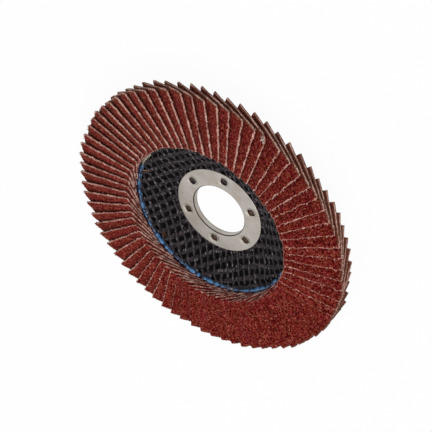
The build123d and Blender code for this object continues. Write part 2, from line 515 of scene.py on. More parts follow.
@dataclass(frozen=True)
class ResinGlassWeave(Finish):
    """Open glass fabric soaked in black phenolic resin and hot pressed.

    It is nearly black and satin on the bundles, with fine filament lines along each bundle. The
    openings are painted deep black as shade, darker than the resin's own black, the bundle tops are
    painted lighter as highlight, and bright pinpoints are painted on as glints where the bundles catch the light.
    """

    name: str = "black_resin_glass_weave"
    row_turn: float = 65.2
    cross_turn: float = -37.5
    filament: float = 0.42
    # Painted shade in the openings, the bundles' own colour, and painted highlight on their tops
    pit_shade: str = "#030303"
    body: str = "#241F22"
    lit_crest: str = "#4B4448"
    # Colour of the painted glints on the bundle tops
    glass: str = "#A8A2A2"
    stain: str = "#4A2C14"
    gloss: float = 0.3
    matt: float = 0.62
    pinpoints: float = 0.7
    stain_place: tuple[float, float, float] = (-8.95, -28.4, 7.3)

    def paint(self, tree: NodeTree) -> dict[str, Any]:
        """Runs filament lines along whichever bundle lies on top."""
        place = add_node(tree, "TexCoord")["Object"]
        over = add_node(tree, "Attribute", attribute_name="over")["Fac"]
        rise = add_node(tree, "Attribute", attribute_name="rise")["Fac"]
        # Painted glints show as short dashes along the crossing bundles
        long_place = add_node(
            tree, "Mapping",
            {
                "Vector": place, "Rotation": (0.0, 0.0, math.radians(self.cross_turn)),
                "Scale": (2.2 * MM, 0.9 * MM, MM)
            },
            vector_type="TEXTURE"
        )[0]
        # A bundle's filament lines are about 0.1 mm apart; they are drawn four times as wide
        lines = []
        for turn in (self.cross_turn, self.row_turn):
            turned = add_node(
                tree, "Mapping",
                {
                    "Vector": place, "Rotation": (0.0, 0.0, math.radians(turn)),
                    "Scale": (4.5 * self.filament * MM, self.filament * MM, MM)
                },
                vector_type="TEXTURE"
            )[0]
            lines.append(add_node(tree, "TexNoise", {"Vector": turned, "Scale": 1.0, "Detail": 2.0})[0])
        line = add_node(tree, "Mix", {0: over, 2: lines[0], 3: lines[1]}, data_type="FLOAT")[0]
        cloud = add_node(tree, "TexNoise", {"Vector": place, "Scale": 420.0, "Detail": 3.0})[0]
        shade = add_node(tree, "Math", {0: line, 1: 1.2, 2: -0.38}, operation="MULTIPLY_ADD")[0]
        shade = add_node(tree, "Math", {0: rise, 1: 0.8, 2: shade}, operation="MULTIPLY_ADD")[0]
        # The crossing bundles get a little painted highlight and come out lighter
        shade = add_node(tree, "Math", {0: over, 1: -0.2, 2: shade}, operation="MULTIPLY_ADD")[0]
        # Painted shade in the openings and painted highlights on the bundle tops, set by height
        colours = add_node(tree, "ValToRGB", {0: shade}, stops=[(0.34, self.pit_shade), (0.62, self.body), (1.0, self.lit_crest)])
        # Painted glints: pale dashes on the bundle tops
        glints = add_node(tree, "TexVoronoi", {"Vector": long_place, "Scale": 1.0}, voronoi_dimensions="2D")
        tips = add_node(tree, "Math", {0: rise, 1: 0.35}, operation="GREATER_THAN")[0]
        mask = add_node(
            tree, "MapRange", {0: glints["Distance"], 1: 0.08, 2: 0.3, 3: self.pinpoints, 4: 0.0}
        )[0]
        chosen = add_node(tree, "SeparateColor", {"Color": glints["Color"]})[0]
        chosen = add_node(tree, "MapRange", {0: chosen, 1: 0.45, 2: 1.0})[0]
        mask = add_node(tree, "Math", {0: mask, 1: chosen}, operation="MULTIPLY")[0]
        mask = add_node(tree, "Math", {0: mask, 1: tips}, operation="MULTIPLY")[0]
        base = add_node(tree, "Mix", {0: mask, 6: colours[0], 7: self.glass}, data_type="RGBA")[2]
        away = add_node(
            tree, "VectorMath", {0: place, 1: Vector(self.stain_place) * MM}, operation="DISTANCE"
        )["Value"]
        spot = add_node(tree, "MapRange", {0: away, 1: 0.5 * MM, 2: 1.2 * MM, 3: 0.85, 4: 0.0})[0]
        base = add_node(tree, "Mix", {0: spot, 6: base, 7: self.stain}, data_type="RGBA")[2]
        rough = add_node(tree, "MapRange", {0: cloud, 1: 0.35, 2: 0.65, 3: self.gloss, 4: self.matt})[0]
        bump = add_node(tree, "Bump", {"Height": line, "Strength": 0.9, "Distance": 0.2 * MM})[0]
        return {
            "Base Color": base, "Roughness": rough, "Normal": bump, "Specular IOR Level": 0.04,
            "Sheen Weight": 0.03, "Sheen Roughness": 0.4
        }


@dataclass(frozen=True)
class SetAdhesive(Finish):
    """Blue two-part epoxy, squeezed out and set: glossy and blue, with painted shade in the gaps between blobs and
    painted highlights on the blob tops. glossy, deep blue, paler where it is thin.
    """

    name: str = "blue_epoxy"
    # Painted shade in the gaps, and painted highlight on the blob tops
    deep: str = "#081A38"
    lit_blob_top: str = "#467FB2"
    dried: str = "#A39B8C"

    def paint(self, tree: NodeTree) -> dict[str, Any]:
        """Paints the blue from shaded gaps to lit blob tops and ripples the skin."""
        place = add_node(tree, "TexCoord")["Object"]
        cloud = add_node(tree, "TexNoise", {"Vector": place, "Scale": 450.0, "Detail": 2.0})[0]
        # Attribute "swell" is 0 in the gaps between blobs and about 1 at their middles
        swell = add_node(tree, "Attribute", attribute_name="swell")["Fac"]
        depth = add_node(tree, "Math", {0: swell, 1: 0.5, 2: cloud}, operation="MULTIPLY_ADD")[0]
        # Painted shade in the gaps between blobs and painted highlights on their tops
        colours = add_node(tree, "ValToRGB", {0: depth}, stops=[(0.6, self.deep), (1.0, self.lit_blob_top)])
        # Attribute "dried" is 1 where the glue ran thin and dried to a dusty grey on the yarns
        dried = add_node(tree, "Attribute", attribute_name="dried")["Fac"]
        base = add_node(tree, "Mix", {0: dried, 6: colours[0], 7: self.dried}, data_type="RGBA")[2]
        bump = add_node(tree, "Bump", {"Height": cloud, "Strength": 0.5, "Distance": 0.3 * MM})[0]
        return {
            "Base Color": base, "Normal": bump, "Roughness": 0.22, "Coat Weight": 0.5,
            "Coat Roughness": 0.12
        }


@dataclass(frozen=True)
class PressedSteel(Finish):
    """Deep-drawn zinc-plated sheet steel: a soft warm grey satin with faint stains and specks."""

    name: str = "plated_pressed_steel"
    clean: str = "#B7B1AA"
    stain: str = "#AEA69D"
    speck: str = "#5E564E"
    # Painted darker in the bore's fold and along its seam
    fold_dark: str = "#2B2019"
    polished: str = "#FFFFFF"
    roughness: float = 0.4

    def paint(self, tree: NodeTree) -> dict[str, Any]:
        """Clouds the plating and adds a few dark specks."""
        place = add_node(tree, "TexCoord")["Object"]
        cloud = add_node(tree, "TexNoise", {"Vector": place, "Scale": 160.0, "Detail": 4.0})[0]
        colours = add_node(tree, "ValToRGB", {0: cloud}, stops=[(0.38, self.stain), (0.6, self.clean)])
        dots = add_node(
            tree, "TexVoronoi", {"Vector": place, "Scale": 300.0, "Randomness": 1.0}
        )["Distance"]
        mask = add_node(tree, "MapRange", {0: dots, 1: 0.05, 2: 0.11, 3: 0.55, 4: 0.0})[0]
        base = add_node(tree, "Mix", {0: mask, 6: colours[0], 7: self.speck}, data_type="RGBA")[2]
        # Attribute "wear" is -1 in the lip's fold and along the seam, which are painted darker, and 1 where the spindle
        # has polished it
        wear = add_node(tree, "Attribute", attribute_name="wear")["Fac"]
        for limit, code in ((-1.0, self.fold_dark), (1.0, self.polished)):
            share = add_node(tree, "MapRange", {0: wear, 1: 0.0, 2: limit})[0]
            base = add_node(tree, "Mix", {0: share, 6: base, 7: hex_to_linear(code)}, data_type="RGBA")[2]
        rough = add_node(
            tree, "MapRange", {0: cloud, 1: 0.3, 2: 0.7, 3: self.roughness + 0.08, 4: self.roughness - 0.06}
        )[0]
        peel = add_node(tree, "TexNoise", {"Vector": place, "Scale": 1400.0, "Detail": 2.0})[0]
        bump = add_node(tree, "Bump", {"Height": peel, "Strength": 0.25, "Distance": 0.03 * MM})[0]
        return {"Base Color": base, "Roughness": rough, "Normal": bump, "Metallic": 1.0}


@dataclass(frozen=True)
class SootyResin(Finish):
    """Brown phenolic resin that oozed up into the prong holes: dull, dark, uneven."""

    name: str = "brown_phenolic_resin"
    dark: str = "#120A06"
    light: str = "#5C4026"

    def paint(self, tree: NodeTree) -> dict[str, Any]:
        """Mottles the resin and pits its skin."""
        place = add_node(tree, "TexCoord")["Object"]
        cloud = add_node(tree, "TexNoise", {"Vector": place, "Scale": 450.0, "Detail": 2.0})[0]
        colours = add_node(tree, "ValToRGB", {0: cloud}, stops=[(0.42, self.dark), (0.64, self.light)])
        bump = add_node(tree, "Bump", {"Height": cloud, "Strength": 0.6, "Distance": 0.2 * MM})[0]
        return {"Base Color": colours[0], "Normal": bump, "Roughness": 0.6}


# Sub-assemblies


@dataclass
class DishLine:
    """Section of the dished plate, which the plate and its weave share."""

    hub_middle: float = 1.4
    hub_flat: float = 20.205
    shoulder: float = 30.2
    rise: float = 5.0

    def height(self, radius: np.ndarray, lift: float) -> np.ndarray:
        """Height of the dish line, lifted off the middle of the plate at right angles.

        Args:
            radius: Distances from the bore axis.
            lift: Offset from the middle of the plate.

        Returns:
            A height for each radius.
        """
        slope = math.atan2(self.rise, self.shoulder - self.hub_flat)
        shift = lift * math.tan(slope / 2)
        low = self.hub_middle + lift
        return np.interp(radius, [self.hub_flat - shift, self.shoulder - shift], [low, low + self.rise])


@dataclass
class Weave:
    """Open weave of flat glass bundles, pulled a little askew, as heights over the plate.

    Openings lie in rows. One set of bundles runs along the rows, the other crosses them.
    """

    row_step: float = 2.845
    row_turn: float = 65.2
    cross_step: float = 3.815
    cross_turn: float = -37.5
    phase: tuple[float, float] = (1.077, 0.049)
    row_share: float = 0.56
    cross_share: float = 0.33
    base: float = 0.2
    swing: float = 0.06
    ride: float = 0.05
    floor: float = -0.34

    def heights(self, points: np.ndarray, seed: int) -> tuple[np.ndarray, np.ndarray]:
        """Height of the cloth at each point, and which bundle lies on top.

        Args:
            points: Places, of which x and y are used.
            seed: Number of the small unevenness.

        Returns:
            The heights, and a share from 0 (crossing bundle on top) to 1 (row bundle on top).
        """
        row, cross = math.radians(self.row_turn), math.radians(self.cross_turn)
        x, y = points[:, 0], points[:, 1]
        x = x + 0.2 * value_noise(x, y, 5.0, seed) + 0.1 * value_noise(x, y, 1.5, seed + 4)
        y = y + 0.2 * value_noise(x, y, 5.0, seed + 1) + 0.1 * value_noise(x, y, 1.5, seed + 5)
        # Solves for the number of steps along the row direction and the crossing direction
        area = math.cos(row) * math.sin(cross) - math.sin(row) * math.cos(cross)
        along_row = (x * math.sin(cross) - y * math.cos(cross)) / area
        along_cross = (y * math.cos(row) - x * math.sin(row)) / area
        s = along_row / self.row_step - self.phase[0]
        t = along_cross / self.cross_step - self.phase[1]
        cross_off = np.abs(s - np.floor(s) - 0.5)
        row_off = np.abs(t - np.floor(t) - 0.5)
        ragged = 0.05 * value_noise(x, y, 0.6, seed + 6)
        row_body = self.bundle(row_off + ragged, self.row_share / 2)
        cross_body = self.bundle(cross_off + ragged, self.cross_share / 2)
        turn_over = np.cos(math.pi * (np.floor(s) + np.floor(t)))
        bend = self.swing * turn_over * np.sin(math.pi * (s % 1)) * np.sin(math.pi * (t % 1))
        strands = 0.5 + 0.5 * np.cos(2 * math.pi * (7 * row_off + 0.3 * value_noise(x, y, 1.3, seed)))
        ribs = 0.5 + 0.5 * np.cos(2 * math.pi * (5 * cross_off + 0.3 * value_noise(x, y, 1.1, seed)))
        row_top = (self.base + bend - self.floor + 0.05 * strands) * row_body
        cross_top = (self.base - self.ride - bend - self.floor + 0.07 * ribs) * cross_body
        rough = 0.04 * value_noise(x, y, 0.4, seed + 2) + 0.03 * value_noise(x, y, 1.2, seed + 3)
        heights = self.floor + np.maximum(row_top, cross_top) + rough
        over = smooth_step(-0.03, 0.03, row_top - cross_top)
        return heights, over

    def bundle(self, off: np.ndarray, half: float) -> np.ndarray:
        """Cross section of a flat bundle: 1 along its middle and 0 past its edge."""
        crown = 1 - 0.25 * np.clip(off / half, 0, 1) ** 2
        return crown * (1 - smooth_step(half - 0.05, half + 0.08, off))


@dataclass
class WovenFace:
    """The open glass weave on the front of the dish, between the steel ring and the flaps."""

    dish: DishLine = field(default_factory=DishLine)
    weave: Weave = field(default_factory=Weave)
    inner: float = 18.2
    outer: float = 32.8
    plate_half: float = 1.0
    sink: float = 0.38
    seed: int = 11

    def build(self) -> Object:
        """Spins the skin and lays the weave into its upper face."""
        rows = 72
        radii = np.linspace(self.inner, self.outer, rows)
        lower = radii[[0, 12, 30, 50, rows - 1]]
        top = np.column_stack([radii, self.dish.height(radii, self.plate_half) + 0.05])
        under = np.column_stack([lower[::-1], self.dish.height(lower[::-1], self.plate_half) - self.sink])
        skin = turn_outline("woven_glass_face", np.vstack([top, under]), 860)
        points = read_points(skin.data)
        radius = np.hypot(points[:, 0], points[:, 1])
        floor = self.dish.height(radius, self.plate_half)
        upper = points[:, 2] > floor
        heights, over = self.weave.heights(points, self.seed)
        border = smooth_step(self.inner, self.inner + 0.3, radius)
        points[:, 2] += np.where(upper, heights * border, 0)
        write_points(skin.data, points)
        write_attribute(skin.data, "over", over)
        write_attribute(skin.data, "rise", np.clip((heights + 0.3) / 0.6, 0, 1))
        skin.data.materials.append(ResinGlassWeave().make())
        return hand_over(skin, ["glass_scrim"], 60)


@dataclass
class PressedPlate:
    """The backing plate: black resin and glass, with the cloth's imprint on its back."""

    dish: DishLine = field(default_factory=DishLine)
    weave: Weave = field(
        default_factory=lambda: Weave(
            row_share=0.72, cross_share=0.6, base=0.12, swing=0.06, ride=0.0, floor=-0.04
        )
    )
    bore: float = 12.0
    radius: float = 50.0
    half: float = 1.0
    inlay: float = 0.42
    under_flange: float = 1.05
    seed: int = 31

    def build(self) -> Object:
        """Spins the plate, rounds its rim and presses the weave into the back."""
        rear = np.concatenate([[self.bore, 15.0], np.linspace(15.4, 49.4, 88)])
        edge = [(49.7, 0.03), (49.93, 0.17), (50.0, 0.42)]
        low = self.dish.height(rear, -self.half)
        outline = list(zip(rear, low))
        rim_low, rim_high = low[-1], low[-1] + 2 * self.half
        outline += [(r, rim_low + z) for r, z in edge]
        outline += [(r, rim_high - z) for r, z in reversed(edge)]
        # Under the woven face the plate is lowered, so that the openings of the weave are deep
        front = np.array([49.3, 40.0, 33.0])
        outline += list(zip(front, self.dish.height(front, self.half)))
        front = np.array([32.8, 31.0, 30.06, 25.0, 20.07, 18.2])
        outline += list(zip(front, self.dish.height(front, self.half - self.inlay)))
        front = np.array([17.9, 15.0, self.bore])
        outline += list(zip(front, self.dish.height(front, self.half - self.under_flange)))
        plate = turn_outline("pressed_plate", np.array(outline), 500)
        points = read_points(plate.data)
        radius = np.hypot(points[:, 0], points[:, 1])
        back = points[:, 2] < self.dish.height(radius, -self.half) + 0.02
        heights, over = self.weave.heights(points, self.seed)
        fade = smooth_step(15.6, 16.6, radius) * (1 - smooth_step(49.0, 49.8, radius))
        points[:, 2] += np.where(back, (0.12 - heights) * fade, 0)
        write_points(plate.data, points)
        write_attribute(plate.data, "over", over)
        write_attribute(plate.data, "rise", np.clip(heights / 0.2, 0, 1))
        # The bundle tops on the back are painted lighter as highlight, the openings darker as shade
        plate.data.materials.append(
            ResinGlassWeave(name="black_pressed_resin", body="#1F1B1C", lit_crest="#3C3638").make()
        )
        return hand_over(plate, ["backing_plate"], 50)


@dataclass
class BoreRing:
    """The pressed steel ring: front flange, collar, rear flange and six gripping prongs."""

    bore: float = 11.115
    lip: float = 0.5
    collar: float = 12.015
    front_radius: float = 18.355
    rear_radius: float = 15.515
    rear_face: float = 0.0
    plate_back: float = 0.4
    plate_front: float = 2.4
    front_face: float = 2.8
    prong_count: int = 6
    prong_circle: float = 14.915
    prong_start: float = 53.3
    dimple_reach: float = 2.45
    dimple_depth: float = 0.22

    def outline(self) -> np.ndarray:
        """Corners of the ring's section, with rounded lips and a fine row across the front."""
        turn = np.linspace(0, math.pi / 2, 9)
        lip = self.lip
        rear_lip = [
            (self.bore + lip - lip * math.sin(t), self.rear_face + lip - lip * math.cos(t))
            for t in turn[::-1]
        ]
        front_lip = [
            (self.bore + lip - lip * math.cos(t), self.front_face - lip + lip * math.sin(t))
            for t in turn[::-1]
        ]
        edge = 0.14
        rear = [
            (13.5, self.rear_face), (self.rear_radius - edge, self.rear_face),
            (self.rear_radius, self.rear_face + edge), (self.rear_radius, self.plate_back),
            (self.collar, self.plate_back), (self.collar, self.plate_front),
            (self.front_radius - 0.05, self.plate_front), (self.front_radius, self.plate_front + 0.08),
            (self.front_radius, self.front_face - 0.16), (self.front_radius - 0.05, self.front_face - 0.06),
            (self.front_radius - 0.16, self.front_face)
        ]
        front = [(r, self.front_face) for r in np.linspace(18.0, self.bore + lip + 0.15, 32)]
        # The collar's end is rolled over against the rear flange, which leaves a line in the bore
        seam = [
            (self.bore, 0.95), (self.bore + 0.02, 0.86), (self.bore + 0.1, 0.8), (self.bore + 0.02, 0.74)
        ]
        return np.array(rear_lip + rear + front + front_lip + seam)

    def prong_place(self, index: int) -> tuple[float, float, float]:
        """Centre and direction of one prong: x, y and its angle in radians."""
        angle = math.radians(self.prong_start + index * 360 / self.prong_count)
        return self.prong_circle * math.cos(angle), self.prong_circle * math.sin(angle), angle

    def squarish_loop(self, name: str, half: float, height: float) -> Object:
        """A flat closed loop in the shape of a square with well rounded corners."""
        loop = add_primitive(bpy.ops.mesh.primitive_circle_add, name, vertices=28, radius=10 * MM)
        points = read_points(loop.data)
        angle = np.arctan2(points[:, 1], points[:, 0])
        for axis, share in enumerate((np.cos(angle), np.sin(angle))):
            points[:, axis] = half * np.sign(share) * np.abs(share) ** 0.62
        points[:, 2] = height
        write_points(loop.data, points)
        return loop

    def prong(self) -> Object:
        """One prong as a closed cup with a rolled mouth, on the bore axis."""
        steps = [
            (1.68, 2.48), (1.8, 2.62), (1.79, 2.67), (1.7, 2.69), (1.57, 2.66), (1.46, 2.58), (1.39, 2.44),
            (1.35, 2.25), (1.29, 1.96)
        ]
        half, height = 1.62, 1.42
        cup = self.squarish_loop("prong", half, height)
        with editing(cup):
            bpy.ops.mesh.select_all(action="SELECT")
            bpy.ops.mesh.edge_face_add()
            for next_half, next_height in steps:
                extrude_by(z=next_height - height)
                grow = next_half / half
                bpy.ops.transform.resize(value=(grow, grow, 1.0), center_override=(0, 0, 0))
                half, height = next_half, next_height
            clean_shell()
        return cup

    def copies(self, pattern: Object) -> list[Object]:
        """Copies a piece from the bore axis to each prong, each with its own mesh."""
        made = []
        for index in range(self.prong_count):
            x, y, angle = self.prong_place(index)
            copy = pattern.copy()
            copy.data = pattern.data.copy()
            bpy.context.scene.collection.objects.link(copy)
            copy.data.transform(Matrix.Translation((x * MM, y * MM, 0)) @ Matrix.Rotation(angle, 4, "Z"))
            made.append(copy)
        bpy.data.objects.remove(pattern)
        return made

    def wear(self, points: np.ndarray) -> np.ndarray:
        """Where the bore is painted darker, and where it is polished.

        Args:
            points: The ring's points.

        Returns:
            -1 in the front lip's fold and in the seam, 1 behind the seam, and 0 elsewhere.
        """
        radius, z = np.hypot(points[:, 0], points[:, 1]), points[:, 2]
        inside = radius < self.bore + self.lip
        turn = np.degrees(np.arctan2(self.bore + self.lip - radius, z - self.front_face + self.lip))
        fold = smooth_step(10, 24, turn) * (1 - smooth_step(56, 74, turn))
        fold *= inside & (z > self.front_face - self.lip - 0.01)
        seam = inside & (np.abs(z - 0.8) < 0.07)
        polished = inside & (z < 0.73)
        return np.where(polished, 1.0, 0.0) - fold - np.where(seam, 0.8, 0.0)

    def build(self) -> Object:
        """Turns the ring, dimples and pierces its face, and sets the prongs into it."""
        ring = turn_outline("bore_ring", self.outline(), 288)
        points = read_points(ring.data)
        face = points[:, 2] > self.front_face - 0.02
        for index in range(self.prong_count):
            x, y, _ = self.prong_place(index)
            away = np.hypot(points[:, 0] - x, points[:, 1] - y)
            sink = self.dimple_depth * (1 - smooth_step(1.9, self.dimple_reach, away))
            points[:, 2] -= np.where(face, sink, 0)
        write_points(ring.data, points)
        cutter = self.squarish_loop("cutter", 1.74, 2.1)
        with editing(cutter):
            bpy.ops.mesh.select_all(action="SELECT")
            bpy.ops.mesh.edge_face_add()
            extrude_by(z=1.2)
            clean_shell()
        cutters = join_pieces(self.copies(cutter))
        apply_modifier(ring, "BOOLEAN", object=cutters, operation="DIFFERENCE", solver="EXACT")
        bpy.data.objects.remove(cutters)
        ring.data.materials.clear()
        ring.data.materials.append(PressedSteel().make())
        ring.data.materials.append(SootyResin().make())
        ring = join_pieces([ring] + self.copies(self.prong()))
        points = read_points(ring.data)
        inside = np.zeros(len(points), bool)
        for index in range(self.prong_count):
            x, y, _ = self.prong_place(index)
            inside |= np.hypot(points[:, 0] - x, points[:, 1] - y) < 1.7
        low = inside & (points[:, 2] < 2.5)
        for face in ring.data.polygons:
            face.material_index = int(all(low[v] for v in face.vertices))
        # Painted darker in the bore's fold and seam
        write_attribute(ring.data, "wear", self.wear(points))
        return hand_over(ring, ["steel_ring"], 35)


@dataclass
class AdhesiveBead:
    """The adhesive bed under the flaps, and the beads that it squeezed out inside them."""

    inner: float = 32.4
    outer: float = 49.2
    floor: float = 7.4
    bed: float = 0.9
    bead_foot: float = 33.8
    bead_height: float = 1.3
    offset: tuple[float, float] = (0.29, 0.12)
    first_angle: float = 8.1
    count: int = 72
    dried: tuple[float, float] = (100.0, 187.0)
    pale_blob: float = 317.5
    seed: int = 51

    def swell(self, angle: np.ndarray) -> np.ndarray:
        """How far the bead has swollen at each angle in degrees, from 0 in a gap to about 1.

        One blob stands between each two flaps. They differ in size, and some run together.
        """
        rng = np.random.default_rng(self.seed)
        beat = (angle - self.first_angle) / (360 / self.count)
        total = 0.16 + 0.16 * value_noise(beat, 0 * beat, 1.7, self.seed + 1)
        for number in range(self.count):
            size, reach = rng.uniform(0.35, 1.1), rng.uniform(0.32, 0.75)
            middle = number + 0.5 + rng.uniform(-0.14, 0.14)
            off = (beat - middle + self.count / 2) % self.count - self.count / 2
            blob = size * np.sqrt(np.clip(1 - (off / reach) ** 2, 0, 1))
            total = np.maximum(total, blob)
        return total

    def build(self) -> Object:
        """Spins the section and swells the bead once for each flap."""
        turn = np.linspace(0, math.pi, 13)
        middle, half = (self.inner + self.bead_foot) / 2, (self.bead_foot - self.inner) / 2
        arch = [
            (middle - half * math.cos(t), self.floor + 0.2 + self.bead_height * math.sin(t))
            for t in turn
        ]
        outline = np.array(
            [(self.inner + 0.1, self.floor - 0.05)] + arch + [
                (38.0, self.floor + self.bed), (self.outer - 0.2, self.floor + self.bed),
                (self.outer, self.floor + self.bed - 0.2), (self.outer, self.floor - 0.05)
            ]
        )
        bead = turn_outline("adhesive_bead", outline, self.count * 12)
        points = read_points(bead.data)
        angle = np.degrees(np.arctan2(points[:, 1], points[:, 0])) % 360
        radius = np.hypot(points[:, 0], points[:, 1])
        on_bead = (radius < self.bead_foot + 0.1) & (points[:, 2] > self.floor + 0.15)
        swell = self.swell(angle)
        dried = smooth_step(self.dried[0] - 10, self.dried[0], angle)
        dried *= 1 - smooth_step(self.dried[1], self.dried[1] + 3, angle)
        swell = swell * (1 - 0.6 * dried)
        dried = np.maximum(dried, 1 - smooth_step(0.5, 1.2, np.abs(angle - self.pale_blob)))
        up = points[:, 2] - self.floor - 0.2
        fall = up * (0.25 + 0.75 * swell) - up
        points[:, 2] += np.where(on_bead, fall, 0)
        outward = np.where(on_bead, (self.bead_foot - radius) * (0.55 - 0.75 * swell), 0)
        outward += np.where(on_bead, 0.08 * value_noise(angle, points[:, 2], 0.7, self.seed), 0)
        points[:, :2] *= (1 + outward / radius)[:, None]
        points[:, :2] += self.offset
        write_points(bead.data, points)
        write_attribute(bead.data, "dried", dried)
        write_attribute(bead.data, "swell", swell)
        bead.data.materials.append(SetAdhesive().make())
        return hand_over(bead, ["adhesive"], 60)


@dataclass(frozen=True)
class BareYarn(Finish):
    """A pulled polyester yarn, uncoated: a dull straw tan, darker where glue has wet it."""

    name: str = "bare_polyester_yarn"
    wet: str = "#7A4E2C"
    dry: str = "#C99B6E"

    def paint(self, tree: NodeTree) -> dict[str, Any]:
        """Clouds the yarn along its length."""
        place = add_node(tree, "TexCoord")["Object"]
        cloud = add_node(tree, "TexNoise", {"Vector": place, "Scale": 1100.0, "Detail": 2.0})[0]
        colours = add_node(tree, "ValToRGB", {0: cloud}, stops=[(0.35, self.wet), (0.55, self.dry)])
        bump = add_node(tree, "Bump", {"Height": cloud, "Strength": 0.5, "Distance": 0.1 * MM})[0]
        return {"Base Color": colours[0], "Normal": bump, "Roughness": 0.85}


@dataclass
class StrayYarn:
    """One yarn end that hangs out of the bead and lies on the weave."""

    foot: tuple[float, float, float] = (-31.3, -7.5, 8.2)
    heading: float = 41.0
    radius: float = 0.13
    steps: tuple[tuple[float, float, float, float], ...] = (
        (0.5, 0.45, 0.1, 1.0), (0.55, 0.4, -0.25, 0.95), (0.6, 0.35, -0.3, 0.9), (0.5, 0.4, -0.12, 0.8),
        (0.35, 0.45, 0.05, 0.55)
    )

    def build(self) -> Object:
        """Extrudes a small circle along the yarn, bend by bend."""
        yarn = add_primitive(
            bpy.ops.mesh.primitive_circle_add, "stray_yarn", vertices=8, radius=self.radius * MM,
            location=Vector(self.foot) * MM,
            rotation=(math.pi / 2, 0, math.radians(self.heading) + math.pi / 2)
        )
        bpy.ops.object.transform_apply(location=True, rotation=True, scale=True)
        centre = Vector(self.foot)
        with editing(yarn):
            bpy.ops.mesh.select_all(action="SELECT")
            bpy.ops.mesh.edge_face_add()
            for x, y, z, size in self.steps:
                extrude_by(x, y, z)
                centre += Vector((x, y, z))
                bpy.ops.transform.resize(value=(size, size, size), center_override=centre * MM)
            clean_shell()
        yarn.data.materials.append(BareYarn().make())
        return hand_over(yarn, [], 60)


class Face(Enum):
    """Which finish a flap's face takes."""

    GRIT = 0
    CUT = 1
    BACK = 2


